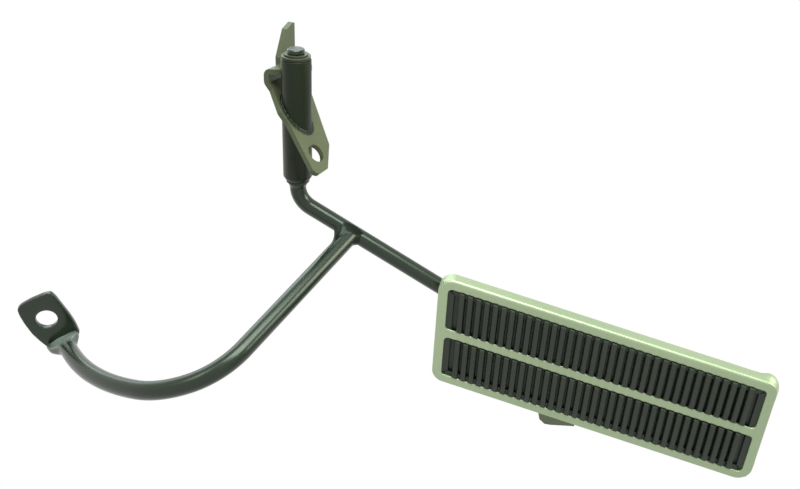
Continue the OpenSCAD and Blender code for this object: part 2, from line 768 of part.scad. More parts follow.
bracket_plate();
pivot_sleeve();
sleeve_weld();
upper_bushing();
lower_bushing();
pedal_rod();
thrust_washer();
head_clip();
throttle_lever();
lever_weld();
pad_trim();
rubber_pad();
backing_plate();
hinge_bracket();
hinge_rivets();
inner_hinge_bushing();
outer_hinge_bushing();
tilt_spring();
pin_washer();
pin_clip();
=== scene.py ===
"""Looks of the hanging accelerator pedal assembly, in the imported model's own frame.

Row frame, in metres: X along the pivot axis, Y forward, Z up. Sizes below are in millimetres.
Everything from the pedal rod on hangs from the pivot, leaning by LEAN about X: the arm frame.
"""
import math
import bmesh
import bpy
import numpy as np
from mathutils import Matrix, Vector
from mathutils.geometry import delaunay_2d_cdt


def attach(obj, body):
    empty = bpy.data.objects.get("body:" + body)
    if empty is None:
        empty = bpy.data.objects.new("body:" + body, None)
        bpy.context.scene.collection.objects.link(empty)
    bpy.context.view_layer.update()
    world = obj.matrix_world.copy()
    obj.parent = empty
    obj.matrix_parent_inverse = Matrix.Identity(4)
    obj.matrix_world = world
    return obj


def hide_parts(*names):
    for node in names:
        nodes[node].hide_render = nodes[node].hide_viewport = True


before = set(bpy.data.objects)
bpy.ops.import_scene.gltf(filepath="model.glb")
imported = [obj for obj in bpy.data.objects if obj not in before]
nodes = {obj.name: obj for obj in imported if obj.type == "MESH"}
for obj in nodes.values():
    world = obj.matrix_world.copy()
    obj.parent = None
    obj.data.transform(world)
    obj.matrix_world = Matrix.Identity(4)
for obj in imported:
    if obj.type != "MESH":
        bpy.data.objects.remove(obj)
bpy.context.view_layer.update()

# Places shared by all pieces
# The pivot is the middle of the sleeve. arm() takes points of the arm frame to the row frame.
# The pad frame has x across the pedal, z up along it and depth behind its bright face.
LEAN = math.radians(15.2)
LEG = math.radians(42)
PIVOT = np.array([20 * math.cos(LEG) - 3.5, 5.0, 20 * math.sin(LEG)])
SKEW = math.tan(math.radians(11.8))
PAD_MIDDLE = np.array([-113.0, -15.0, -157.0])


def arm(points):
    """Arm frame to row frame, both in mm: p' = pivot + Rx(lean) p."""
    p = np.atleast_2d(np.asarray(points, float))
    c, s = math.cos(LEAN), math.sin(LEAN)
    return PIVOT + np.stack([p[:, 0], c * p[:, 1] - s * p[:, 2], s * p[:, 1] + c * p[:, 2]], 1)


def pad(x, z, depth):
    """Pad frame to row frame, in mm: depth runs along the arm frame's +Y."""
    x, z, depth = np.broadcast_arrays(np.asarray(x, float), z, depth)
    flat = np.stack([x.ravel(), depth.ravel(), z.ravel()], 1)
    return arm(flat + PAD_MIDDLE)


def add(name, points, faces, body, finish, smooth=40):
    """A mesh from row-frame points in mm, riding on a CAD body, smooth below that angle.

    Seams within 0.01 mm are merged, and then all faces are turned outwards.
    """
    mesh = bpy.data.meshes.new(name)
    mesh.from_pydata((np.asarray(points) / 1000).tolist(), [], [tuple(f) for f in faces])
    work = bmesh.new()
    work.from_mesh(mesh)
    bmesh.ops.remove_doubles(work, verts=work.verts, dist=0.00001)
    bmesh.ops.recalc_face_normals(work, faces=work.faces)
    work.to_mesh(mesh)
    work.free()
    mesh.validate()
    obj = bpy.data.objects.new(name, mesh)
    bpy.context.scene.collection.objects.link(obj)
    mesh.materials.append(finish)
    mesh.shade_smooth()
    mesh.set_sharp_from_angle(angle=math.radians(smooth))
    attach(obj, body)
    return obj


def grid_faces(rows, cols, around=True, first=0):
    """Quads between rows of equally many points; around joins each row's end to its start."""
    last = cols if around else cols - 1
    return [(first + i * cols + k, first + i * cols + (k + 1) % cols,
             first + (i + 1) * cols + (k + 1) % cols, first + (i + 1) * cols + k)
            for i in range(rows - 1) for k in range(last)]


# Finishes
# Each one is procedural, in object coordinates: a slow mottle in the colour, a fine grain in
# the roughness and a shallow bump. Enamel has a clear gloss over it.
def finish(name, dark, light, metal=0.0, rough=(0.3, 0.45), coat=0.0, scale=60.0, grain=900.0,
           bump=0.06, stretch=(1, 1, 1), orange_peel=0.0, shine=0.5, tint=(1, 1, 1),
           coat_rough=0.14, painted_highlight=None):
    """colour = mix(dark, light, noise(scale p)); roughness = mix(rough, noise(grain p))."""
    mat = bpy.data.materials.new(name)
    mat.use_nodes = True
    tree = mat.node_tree
    tree.nodes.clear()
    new, link = tree.nodes.new, tree.links.new
    out = new("ShaderNodeOutputMaterial")
    shader = new("ShaderNodeBsdfPrincipled")
    link(shader.outputs[0], out.inputs[0])
    shader.inputs["Metallic"].default_value = metal
    shader.inputs["Coat Weight"].default_value = coat
    shader.inputs["Coat Roughness"].default_value = coat_rough
    shader.inputs["Specular IOR Level"].default_value = shine
    shader.inputs["Specular Tint"].default_value = (*tint, 1)
    coords = new("ShaderNodeTexCoord")
    place = new("ShaderNodeMapping")
    place.inputs["Scale"].default_value = stretch
    link(coords.outputs["Object"], place.inputs[0])
    slow = new("ShaderNodeTexNoise")
    slow.inputs["Scale"].default_value = scale
    slow.inputs["Detail"].default_value = 4
    fine = new("ShaderNodeTexNoise")
    fine.inputs["Scale"].default_value = grain
    fine.inputs["Detail"].default_value = 2
    link(place.outputs[0], slow.inputs[0])
    link(place.outputs[0], fine.inputs[0])
    colour = new("ShaderNodeMix")
    colour.data_type = "RGBA"
    colour.inputs["A"].default_value = (*dark, 1)
    colour.inputs["B"].default_value = (*light, 1)
    link(slow.outputs[0], colour.inputs[0])
    link(colour.outputs["Result"], shader.inputs["Base Color"])
    spread = new("ShaderNodeMapRange")
    spread.inputs["From Min"].default_value = 0.3
    spread.inputs["From Max"].default_value = 0.7
    spread.inputs["To Min"].default_value = rough[0]
    spread.inputs["To Max"].default_value = rough[1]
    link(fine.outputs[0], spread.inputs[0])
    link(spread.outputs[0], shader.inputs["Roughness"])
    relief = new("ShaderNodeBump")
    relief.inputs["Strength"].default_value = bump
    relief.inputs["Distance"].default_value = 0.0003
    link(fine.outputs[0], relief.inputs["Height"])
    link(relief.outputs[0], shader.inputs["Normal"])
    if painted_highlight:
        # A painted highlight: a pale patch in the base colour in place of the light that the neck's flat reflects; 1
        # within half the radius of its middle, 0 past it
        middle, reach, highlight_colour = painted_highlight
        apart = new("ShaderNodeVectorMath")
        apart.operation = "DISTANCE"
        apart.inputs[1].default_value = middle
        link(coords.outputs["Object"], apart.inputs[0])
        highlight_patch = new("ShaderNodeMapRange")
        highlight_patch.interpolation_type = "SMOOTHSTEP"
        highlight_patch.inputs["From Min"].default_value = reach
        highlight_patch.inputs["From Max"].default_value = 0.35 * reach
        highlight_patch.inputs["To Max"].default_value = 0.75
        link(apart.outputs["Value"], highlight_patch.inputs[0])
        highlight_mix = new("ShaderNodeMix")
        highlight_mix.data_type = "RGBA"
        highlight_mix.inputs["B"].default_value = (*highlight_colour, 1)
        link(highlight_patch.outputs[0], highlight_mix.inputs[0])
        link(colour.outputs["Result"], highlight_mix.inputs["A"])
        link(highlight_mix.outputs["Result"], shader.inputs["Base Color"])
    if orange_peel:
        wave = new("ShaderNodeTexNoise")
        wave.inputs["Scale"].default_value = 140
        link(coords.outputs["Object"], wave.inputs[0])
        peel = new("ShaderNodeBump")
        peel.inputs["Strength"].default_value = orange_peel
        peel.inputs["Distance"].default_value = 0.0006
        link(wave.outputs[0], peel.inputs["Height"])
        link(peel.outputs[0], relief.inputs["Normal"])
        link(peel.outputs[0], shader.inputs["Coat Normal"])
    return mat


enamel = finish("dark_enamel", (0.004, 0.009, 0.004), (0.012, 0.020, 0.009), rough=(0.24, 0.32),
                coat=0.45, bump=0.002, orange_peel=0.02, shine=0.35, tint=(0.8, 1, 0.8),
                coat_rough=0.2)
sleeve_enamel = finish("sleeve_enamel", (0.003, 0.005, 0.002), (0.010, 0.014, 0.005),
                       rough=(0.34, 0.44), coat=0.08, bump=0.03, orange_peel=0.08, shine=0.28,
                       tint=(0.85, 1, 0.75))
satin_enamel = finish("satin_enamel", (0.062, 0.075, 0.032), (0.100, 0.116, 0.052),
                      rough=(0.38, 0.50), coat=0.10, bump=0.05, orange_peel=0.08)
weld_enamel = finish("weld_enamel", (0.003, 0.005, 0.002), (0.010, 0.014, 0.007),
                     rough=(0.34, 0.46), coat=0.1, bump=0.1, orange_peel=0.1, shine=0.25,
                     tint=(0.8, 1, 0.8))
bright = finish("bright_trim", (0.34, 0.43, 0.27), (0.44, 0.53, 0.34), metal=0.75,
                rough=(0.40, 0.50), bump=0.03, scale=25, grain=1400, stretch=(0.15, 1, 1))
plated = finish("plated_steel", (0.05, 0.06, 0.035), (0.10, 0.11, 0.07), metal=0.5,
                rough=(0.30, 0.42), bump=0.05)
nylon = finish("nylon", (0.030, 0.036, 0.020), (0.06, 0.068, 0.042), rough=(0.4, 0.55), bump=0.05,
               shine=0.3)
rubber = finish("black_rubber", (0.010, 0.017, 0.009), (0.026, 0.036, 0.022),
                rough=(0.40, 0.58), bump=0.10, grain=2200)
zinc = finish("backing_steel", (0.10, 0.12, 0.07), (0.17, 0.19, 0.12), metal=0.75,
              rough=(0.30, 0.45), bump=0.08)
spring_steel = finish("spring_steel", (0.16, 0.17, 0.14), (0.24, 0.25, 0.21), metal=1.0,
                      rough=(0.3, 0.4))

for name, coat in {
        "bracket_plate": satin_enamel, "pivot_sleeve": sleeve_enamel, "sleeve_weld": weld_enamel,
        "upper_bushing": nylon, "lower_bushing": nylon, "pedal_rod": enamel,
        "thrust_washer": plated, "head_clip": plated, "throttle_lever": enamel,
        "lever_weld": weld_enamel, "pad_trim": bright, "rubber_pad": rubber,
        "backing_plate": zinc, "hinge_bracket": zinc, "hinge_rivets": plated,
        "inner_hinge_bushing": nylon, "outer_hinge_bushing": nylon,
        "tilt_spring": spring_steel, "pin_washer": plated, "pin_clip": plated}.items():
    mesh = nodes[name].data
    mesh.materials.clear()
    mesh.materials.append(coat)


# Bracket
# The folded plate is the CAD piece. Its cut edges get a small rounding, as sheared and
# enamelled steel has, so that they catch the light.
def soften(name, width, angle=35):
    """Welds the node's seams and rounds its sharp edges by the given width in mm."""
    obj = nodes[name]
    weld = obj.modifiers.new("weld", "WELD")
    weld.merge_threshold = 0.000002
    edge = obj.modifiers.new("edge", "BEVEL")
    edge.width = width / 1000
    edge.segments = 3
    edge.limit_method = "ANGLE"
    edge.angle_limit = math.radians(angle)
    edge.harden_normals = True


soften("bracket_plate", 0.45)


# Sleeve, bushings, washers and clips
# These are turned or stamped pieces: the CAD solids with small rounded rims.
for name, width in {"pivot_sleeve": 0.3, "upper_bushing": 0.15, "lower_bushing": 0.15,
                    "thrust_washer": 0.15, "pin_washer": 0.15, "head_clip": 0.1,
                    "pin_clip": 0.1}.items():
    soften(name, width, angle=50)


# Weld on the sleeve
# A bead of overlapping puddles along the oval where the sleeve passes through the leg's face.
def puddles(k, count, depth):
    """Bead size over the angle k: 1 - depth |sin(count k / 2)|^3, one arch for each puddle."""
    return 1 - depth * np.abs(np.sin(count * k / 2)) ** 3


k = np.linspace(0, 2 * math.pi, 240, endpoint=False)
radial = np.stack([np.zeros_like(k), np.cos(k), np.sin(k)], 1)
along_leg = np.array([math.cos(LEG), 0, math.sin(LEG)])
face_out = np.array([math.sin(LEG), 0, -math.cos(LEG)])
foot = 7.0 * radial + np.stack([3.5 + 7.0 * np.sin(k) / math.tan(LEG), 0 * k, 0 * k], 1)
size = 1.3 * puddles(k, 26, 0.15)
away = radial - (radial @ face_out)[:, None] * face_out
away /= np.linalg.norm(away, axis=1)[:, None]
loops = []
for q in np.linspace(0, 1, 9):
    out, rise = math.cos(q * math.pi / 2), math.sin(q * math.pi / 2)
    loops.append(foot + size[:, None] * (out * away + rise * np.array([1.0, 0, 0])) * (0.55 + 0.45 * abs(2 * q - 1)))
loops.append(foot - 0.4 * radial)
points = np.concatenate(loops) + PIVOT
bead = add("sleeve_bead", points, grid_faces(len(loops), len(k)), "bracket", weld_enamel, 60)
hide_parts("sleeve_weld")


# Pedal rod
# One round bar, turned and bent cold: a head and a clip groove at its top, a pressed shoulder
# under the sleeve, two bends, and the hinge pin with its own groove at the lower end.
ROD_D, GROOVE_D, SHOULDER_D, SLANT, DROP = 8.0, 6.2, 9.4, 27.6, 134.0
UPPER_R, LOWER_R, EDGE = 12.0, 10.0, 0.3
CORNER_X = -41.0
PIN_CORNER_X = CORNER_X - DROP * math.tan(math.radians(SLANT))
PIN_CLIP_X = PIN_CORNER_X - 7.5 - 2 * 2 - 13 - 0.8 - 0.1 - 0.8 - 0.1 - 0.7
PIN_END_X = PIN_CLIP_X - 0.1 - 1.5


def turned(at, radii):
    """Rows of place along X and radius: each radius starts and ends with a small chamfer."""
    rows = []
    for (x0, x1), r in zip(at, radii):
        step = EDGE * (1 if x1 > x0 else -1)
        rows += [(x0, r - EDGE), (x0 + step, r), (x1 - step, r), (x1, r - EDGE)]
    return np.array(rows)


def bend(corner, radius, start, along):
    """Places and headings of a bend: c + r (cos a, sin a), the heading at right angles to it."""
    turn = 90 - SLANT
    a = np.radians(np.linspace(start, start + turn, 25))
    tangent = radius * math.tan(math.radians(turn / 2))
    side = np.array([along * tangent, -along * radius])
    middle = np.array(corner) + side
    return middle + radius * np.stack([np.cos(a), np.sin(a)], 1), a


top = turned([(34.6, 32.6)], [ROD_D / 2])
top = np.vstack([top, [(32.6, GROOVE_D / 2), (31.8, GROOVE_D / 2)],
                 turned([(31.8, -30.9), (-30.9, -32.1)], [ROD_D / 2, SHOULDER_D / 2])])
upper, upper_a = bend((CORNER_X, 0.0), UPPER_R, 90, 1)
lower, lower_a = bend((PIN_CORNER_X, -DROP), LOWER_R, 270, -1)
lower, lower_a = lower[::-1], lower_a[::-1]
pin = np.vstack([[(PIN_CLIP_X + 0.8 + EDGE, ROD_D / 2), (PIN_CLIP_X + 0.8, ROD_D / 2 - EDGE),
                  (PIN_CLIP_X + 0.8, GROOVE_D / 2), (PIN_CLIP_X - 0.1, GROOVE_D / 2)],
                 turned([(PIN_CLIP_X - 0.1, PIN_END_X)], [ROD_D / 2])])
centre = np.vstack([np.stack([top[:, 0], 0 * top[:, 0]], 1), upper, lower,
                    np.stack([pin[:, 0], 0 * pin[:, 0] - DROP], 1)])
side = np.vstack([np.tile([0, 1], (len(top), 1)), np.stack([np.cos(upper_a), np.sin(upper_a)], 1),
                  -np.stack([np.cos(lower_a), np.sin(lower_a)], 1), np.tile([0, 1], (len(pin), 1))])
radius = np.r_[top[:, 1], np.full(len(upper) + len(lower), ROD_D / 2), pin[:, 1]]
k = np.linspace(0, 2 * math.pi, 48, endpoint=False)
points = np.stack([centre[:, :1] + radius[:, None] * np.cos(k) * side[:, :1],
                   radius[:, None] * np.sin(k) + 0 * centre[:, :1],
                   centre[:, 1:] + radius[:, None] * np.cos(k) * side[:, 1:]], 2).reshape(-1, 3)
faces = grid_faces(len(centre), len(k))
faces += [tuple(range(len(k)))[::-1], tuple(range(len(points) - len(k), len(points)))]
rod = add("rod_bar", arm(points), faces, "arm", enamel, 35)
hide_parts("pedal_rod")


# Throttle lever
# Round bar: a straight run, then three blended bends in one plane. The neck flattens with
# its width in that plane, and the eye is folded over towards the plane's normal.
LEVER_D = 8.7
LEVER_START = np.array([-41 - 28 * math.tan(math.radians(27.6)), 0.0, -28.0])
RISE, STRAIGHT, BENDS = 24.3, 82.5, ((32.6, 49.5), (53.6, 31.5), (141.5, 26.3))
EYE_T, EYE_HALF, EYE_REACH, EYE_TIP, EYE_HOLE, EYE_TURN = 3.3, 10.75, 16.0, 13.0, 5.25, 20.0


def lever_plane(points):
    """Lever frame to arm frame: Rz(-10.3) Ry(-21.3) p + start."""
    b, g = math.radians(-21.3), math.radians(-10.3)
    ry = np.array([[math.cos(b), 0, math.sin(b)], [0, 1, 0], [-math.sin(b), 0, math.cos(b)]])
    rz = np.array([[math.cos(g), -math.sin(g), 0], [math.sin(g), math.cos(g), 0], [0, 0, 1]])
    return np.atleast_2d(points) @ (rz @ ry).T + LEVER_START


def ahead(a):
    """Heading a, in degrees, from -Y towards +Z: (-cos a, sin a)."""
    return np.array([-math.cos(math.radians(a)), math.sin(math.radians(a))])


def inward(a):
    """The derivative of ahead: the side that the lever bends to."""
    return np.array([math.sin(math.radians(a)), math.cos(math.radians(a))])


def lever_path():
    """Places and headings: p(t) = p0 + r (inward(a0) - inward(a0 + t)) in each bend."""
    rows = [(s * STRAIGHT * ahead(RISE), RISE) for s in (0.03, 0.3, 0.6, 0.9, 1.0)]
    p, a = rows[-1]
    for radius, turn in BENDS:
        steps = int(turn)
        for i in range(1, steps + 1):
            t = turn * i / steps
            rows.append((p + radius * (inward(a) - inward(a + t)), a + t))
        p, a = rows[-1]
    rows += [(p + s * ahead(a), a) for s in (3.5, 7.0)]
    return rows


def lever_ring(place, a, thick, wide, square, sides=40):
    """Superellipse: thick sgn(cos k)|cos k|^n along the normal, wide sgn(sin k)|sin k|^n."""
    k = np.arange(sides) * 2 * math.pi / sides
    u = thick * np.sign(np.cos(k)) * np.abs(np.cos(k)) ** square
    v = wide * np.sign(np.sin(k)) * np.abs(np.sin(k)) ** square
    side = inward(a)
    return np.stack([u, place[0] + v * side[0], place[1] + v * side[1]], 1)


rings = []
path = lever_path()
for place, a in path:
    rings.append(lever_ring(place, a, LEVER_D / 2, LEVER_D / 2, 1.0))
stop, heading = path[-1]
for i in range(1, 18):
    s = i / 16
    f = min(s, 1) ** 2 * (3 - 2 * min(s, 1))
    rings.append(lever_ring(stop + 13 * s * ahead(heading), heading,
                            LEVER_D / 2 * (1 - f) + EYE_T / 2 * f,
                            LEVER_D / 2 + (EYE_HALF - 2.3 - LEVER_D / 2) * (1 - (1 - f) ** 1.7),
                            1 - 0.6 * f))
count = len(rings[0])
points = np.concatenate(rings)
faces = grid_faces(len(rings), count)
faces += [tuple(range(count))[::-1], tuple(range(len(points) - count, len(points)))]
# The neck's flat gets a painted highlight: a pale patch mixed into the bar's base colour about its middle.
flat_middle = arm(lever_plane([[6.0, *(stop + 9 * ahead(heading))]]))[0] / 1000
bar_enamel = finish("bar_enamel", (0.004, 0.009, 0.004), (0.012, 0.020, 0.009),
                    rough=(0.24, 0.32), coat=0.45, bump=0.002, orange_peel=0.02, shine=0.35,
                    tint=(0.8, 1, 0.8), coat_rough=0.2,
                    painted_highlight=(tuple(flat_middle), 0.0115, (0.36, 0.42, 0.39)))
lever = add("lever_bar", arm(lever_plane(points)), faces, "arm", bar_enamel, 50)


def eye_outline(n=96):
    """The eye's rim about its hole, from the crease: corner points through a closed spline."""
    tip, w = EYE_REACH + EYE_TIP, EYE_HALF
    corners = np.array([[0, -w + 2.3], [6.4, -w + 0.8], [12, -w], [19, -w + 0.2],
                        [24.5, -w + 0.9], [tip - 0.9, -w + 1.9], [tip + 0.2, -w + 4.5],
                        [tip + 0.6, 0], [tip + 0.2, w - 4], [tip - 0.5, w - 0.9],
                        [tip - 4, w - 0.2], [12, w], [6.4, w - 0.4], [0, w - 1.6]])
    closed = np.vstack([corners, corners[:1]])
    length = np.r_[0, np.cumsum(np.linalg.norm(np.diff(closed, axis=0), axis=1))]
    at = np.linspace(0, length[-1], n, endpoint=False)
    rim = np.stack([np.interp(at, length, closed[:, 0]), np.interp(at, length, closed[:, 1])], 1)
    for _ in range(2):
        rim = 0.5 * rim + 0.25 * (np.roll(rim, 1, 0) + np.roll(rim, -1, 0))
    return rim


def eye_plate():
    """Rounded plate: rim loops move in by r(1 - cos q) as the height falls by r(1 - sin q)."""
    rim = eye_outline()
    n = len(rim)
    centre = np.array([EYE_REACH, 0.0])
    k = np.arctan2(rim[:, 1], rim[:, 0] - EYE_REACH)
    hole = centre + EYE_HOLE * np.stack([np.cos(k), np.sin(k)], 1)
    out = rim - centre
    out /= np.linalg.norm(out, axis=1)[:, None]
    loops = []
    r = 0.7
    for q in (0, 30, 60, 90):
        c, s = math.cos(math.radians(q)), math.sin(math.radians(q))
        loops.append((rim - out * r * (1 - s), r * (1 - c)))
    loops += [(p, EYE_T - h) for p, h in loops[::-1]]
    lip = 0.35
    edge = [(hole + out * lip * (1 - math.sin(math.radians(q))),
             EYE_T - lip * (1 - math.cos(math.radians(q)))) for q in (0, 45, 90)]
    loops += edge + [(p, EYE_T - h) for p, h in edge[::-1]]
    flat = [np.column_stack([p[:, 0] - EYE_T / 2, p[:, 1], np.full(n, h)]) for p, h in loops]
    return np.concatenate(flat), grid_faces(len(flat) + 1, n)[:-n] + [
        ((len(flat) - 1) * n + i, (len(flat) - 1) * n + (i + 1) % n, (i + 1) % n, i)
        for i in range(n)]


flat, faces = eye_plate()
turn = math.radians(90 - (heading + EYE_TURN))
fold = np.array([[1, 0, 0], [0, math.cos(turn), -math.sin(turn)],
                 [0, math.sin(turn), math.cos(turn)]])
crease = stop + 13 * ahead(heading)
eye = add("lever_eye", arm(lever_plane(flat @ fold.T + [0, *crease])), faces, "arm", enamel, 50)
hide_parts("throttle_lever")
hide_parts("throttle_lever")

# The lever's weld: a flared collar from the rod's surface on to the bar, longer towards the
# sleeve, where the photograph shows a web
ROD_DIR = np.array([-math.sin(math.radians(27.6)), 0, -math.cos(math.radians(27.6))])
k = np.linspace(0, 2 * math.pi, 120, endpoint=False)
bar_dir = (lever_plane([[0, *ahead(RISE)]]) - LEVER_START)[0]
side_a = np.cross(bar_dir, ROD_DIR)
side_a /= np.linalg.norm(side_a)
side_b = np.cross(side_a, bar_dir)
radial = np.cos(k)[:, None] * side_a + np.sin(k)[:, None] * side_b
towards_sleeve = (0.5 - 0.5 * np.sin(k)) ** 2
reach = (2.6 + 5.2 * towards_sleeve) * puddles(k, 20, 0.05)
flare = (1.7 + 1.9 * towards_sleeve) * puddles(k, 20, 0.10)
loops = []
for q in np.linspace(0, 1, 10):
    r = LEVER_D / 2 + 0.05 + flare * (1 - q) ** 1.8
    ring = radial * r[:, None]
    across = ring - (ring @ ROD_DIR)[:, None] * ROD_DIR
    t_dir = bar_dir - (bar_dir @ ROD_DIR) * ROD_DIR
    a2, b2 = t_dir @ t_dir, 2 * across @ t_dir
    c2 = (across ** 2).sum(1) - 3.9 ** 2
    root = (-b2 + np.sqrt(np.maximum(b2 ** 2 - 4 * a2 * c2, 0))) / (2 * a2)
    loops.append(LEVER_START + ring + (root + q * reach)[:, None] * bar_dir)
collar = add("lever_bead", arm(np.concatenate(loops)), grid_faces(len(loops), len(k)), "arm",
             weld_enamel, 60)
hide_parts("lever_weld")


# Pedal frame
# A pressed sheet: a flat face with two windows, a rolled outer edge and side walls. The lower
# end's wall is cut away between its corners, and one side wall has a slot for the lug.
PAD_W, PAD_L, CORNER, SHEET = 62.0, 169.0, 7.0, 0.8
HALF_Z = PAD_L * math.cos(math.radians(11.8)) / 2
SIDE_RIM, END_RIM, BAR, WALL, ROLL = 5.3, 5.0, 5.0, 6.6, 1.6
WINDOW_W = (PAD_W - 2 * SIDE_RIM - BAR) / 2
WINDOW_X = (WINDOW_W + BAR) / 2
WINDOW_Z = HALF_Z - END_RIM


def rounded_band(half_x, half_z, radius, per_corner=14, per_side=60):
    """Rounded parallelogram, anticlockwise: x leans by SKEW z. Returns points and normals."""
    corners = [np.array([sx * half_x + sz * half_z * SKEW, sz * half_z])
               for sx, sz in ((-1, -1), (1, -1), (1, 1), (-1, 1))]
    points, normals = [], []
    for i in range(4):
        c, before, after = corners[i], corners[i - 1], corners[(i + 1) % 4]
        e1 = (before - c) / np.linalg.norm(before - c)
        e2 = (after - c) / np.linalg.norm(after - c)
        half = math.acos(np.clip(e1 @ e2, -1, 1)) / 2
        middle = c + (e1 + e2) / np.linalg.norm(e1 + e2) * radius / math.sin(half)
        n1 = np.array([-e1[1], e1[0]])
        n2 = np.array([e2[1], -e2[0]])
        a1, a2 = math.atan2(n1[1], n1[0]), math.atan2(n2[1], n2[0])
        if a2 < a1:
            a2 += 2 * math.pi
        for a in np.linspace(a1, a2, per_corner):
            normals.append([math.cos(a), math.sin(a)])
            points.append(middle + radius * np.array(normals[-1]))
        follow = corners[(i + 1) % 4]
        e3 = (corners[(i + 2) % 4] - follow) / np.linalg.norm(corners[(i + 2) % 4] - follow)
        e4 = (c - follow) / np.linalg.norm(c - follow)
        half = math.acos(np.clip(e3 @ e4, -1, 1)) / 2
        target = follow + (e3 + e4) / np.linalg.norm(e3 + e4) * radius / math.sin(half)
        target = target + radius * n2
        for s in np.linspace(0, 1, per_side + 2)[1:-1]:
            points.append((1 - s) * (middle + radius * n2) + s * target)
            normals.append(list(n2))
    return np.array(points), np.array(normals)


outline, outward = rounded_band(PAD_W / 2, HALF_Z, CORNER)
n = len(outline)


def wall_depth(p):
    """Depth of the side wall at each outline point: shallow at the slot and the end's cut."""
    x, z = p[:, 0] - p[:, 1] * SKEW, p[:, 1]
    depth = np.full(len(p), WALL)
    ramp = np.clip((17.5 - np.abs(x)) / 2.5, 0, 1)
    end = (z < -HALF_Z + 1.0)
    depth = np.where(end, WALL - (WALL - 2.6) * ramp ** 2 * (3 - 2 * ramp), depth)
    slot = np.clip((z - 2.5) / 1.0, 0, 1) * np.clip((29.5 - z) / 1.0, 0, 1) * (x < 0)
    return np.where(~end, depth - (WALL - 4.3) * slot, depth)


def wall_flare(p):
    """How far the wall's edge leans out: at the two lower corners and at one crimped tab."""
    x, z = p[:, 0] - p[:, 1] * SKEW, p[:, 1]
    corner = np.clip((np.abs(x) - 15.0) / 5.0, 0, 1) * np.clip((9.0 - HALF_Z - z) / 5.0, 0, 1)
    tab = np.clip(1 - np.abs(z - 69.0) / 3.2, 0, 1) * (x < -20)
    return 1.4 * corner * corner * (3 - 2 * corner) + 2.2 * tab


depth = wall_depth(outline)
flared = outward * wall_flare(outline)[:, None]
APRON, ROUND = 0.3, 0.45
loops = [(outline - outward * (ROLL + APRON), np.zeros(n))]
for q in np.linspace(90, 0, 7):
    c, s = math.cos(math.radians(q)), math.sin(math.radians(q))
    loops.append((outline - outward * ROLL * (1 - c), np.full(n, ROLL * (1 - s))))
for f in (0.25, 0.5, 0.75, 1.0):
    loops.append((outline + flared * min(1.6 * f, 1), ROLL + (depth - ROLL) * f))
loops.append((outline + flared - outward * SHEET, depth))
loops.append((outline - outward * SHEET, np.full(n, ROLL)))
loops.append((outline - outward * ROLL, np.full(n, SHEET)))
loops.append((outline - outward * (ROLL + APRON), np.full(n, SHEET)))
points = np.concatenate([pad(p[:, 0], p[:, 1], d) for p, d in loops])
faces = grid_faces(len(loops), n)

# The flat face inside the rolled edge, with its two windows, at depth 0 and from behind. A
# narrow apron round each opening keeps the flat's normals straight.
inner = loops[0][0]
window_rims = []
for s in (-1, 1):
    w, w_out = rounded_band(WINDOW_W / 2, WINDOW_Z, 2.0, 7, 40)
    window_rims.append((w + [s * WINDOW_X, 0], w_out))
borders = [w + w_out * (ROUND + APRON) for w, w_out in window_rims]
flat = [Vector(p) for p in np.concatenate([inner] + borders)]
edges, start = [], 0
for loop in [inner] + borders:
    edges += [(start + i, start + (i + 1) % len(loop)) for i in range(len(loop))]
    start += len(loop)
verts2, _, tris, _, _, _ = delaunay_2d_cdt(flat, edges, [], 1, 1e-6)
verts2 = np.array([list(v) for v in verts2])


def in_window(p):
    """True where a point lies to the left of every edge of either window's border."""
    for border in borders:
        along = np.roll(border, -1, 0) - border
        across = p - border
        if np.all(along[:, 0] * across[:, 1] - along[:, 1] * across[:, 0] > 0):
            return True
    return False


tris = [t for t in tris if not in_window(verts2[list(t)].mean(0))]
base = len(points)
front = pad(verts2[:, 0], verts2[:, 1], 0.0)
back = pad(verts2[:, 0], verts2[:, 1], SHEET)
points = np.concatenate([points, front, back])
faces += [tuple(base + i for i in t) for t in tris]
faces += [tuple(base + len(verts2) + i for i in t[::-1]) for t in tris]
for w, w_out in window_rims:
    base = len(points)
    rings = [(w + w_out * (ROUND + APRON), 0.0)]
    for q in np.radians([90, 60, 30, 0]):
        rings.append((w + w_out * ROUND * (1 - math.cos(q)), ROUND * (1 - math.sin(q))))
    rings += [(w, SHEET), (w + w_out * (ROUND + APRON), SHEET)]
    points = np.concatenate([points] + [pad(p[:, 0], p[:, 1], d) for p, d in rings])
    faces += [f[::-1] for f in grid_faces(len(rings), len(w), first=base)]
trim = add("pedal_frame", points, faces, "pedal", bright, 35)
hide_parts("pad_trim")


# Pedal rubber
# One sheet under the frame. In each window stand cross ribs with rounded tops, a little proud
# of the frame, and a flat margin is left at each end.
RIB_STEP = 4.25 * math.cos(math.radians(11.8))
RIB_TOP, RIB_FOOT, PROUD, FLOOR = 2.7, 3.3, 1.0, 2.3
END_MARGIN = 3.0
RIBS = 2 * math.floor((WINDOW_Z - END_MARGIN - RIB_FOOT / 2) / RIB_STEP) + 1


def rib_profile(n=9):
    """Across a rib: z and depth from one foot over the rounded top to the other foot."""
    edge = 0.75
    rows = [(-RIB_FOOT / 2, FLOOR)]
    for q in np.linspace(0, 90, n):
        c, s = math.cos(math.radians(q)), math.sin(math.radians(q))
        rows.append((-RIB_TOP / 2 + edge - edge * c, -PROUD + edge - edge * s))
    rows += [(-z, d) for z, d in rows[::-1]]
    return np.array(rows)


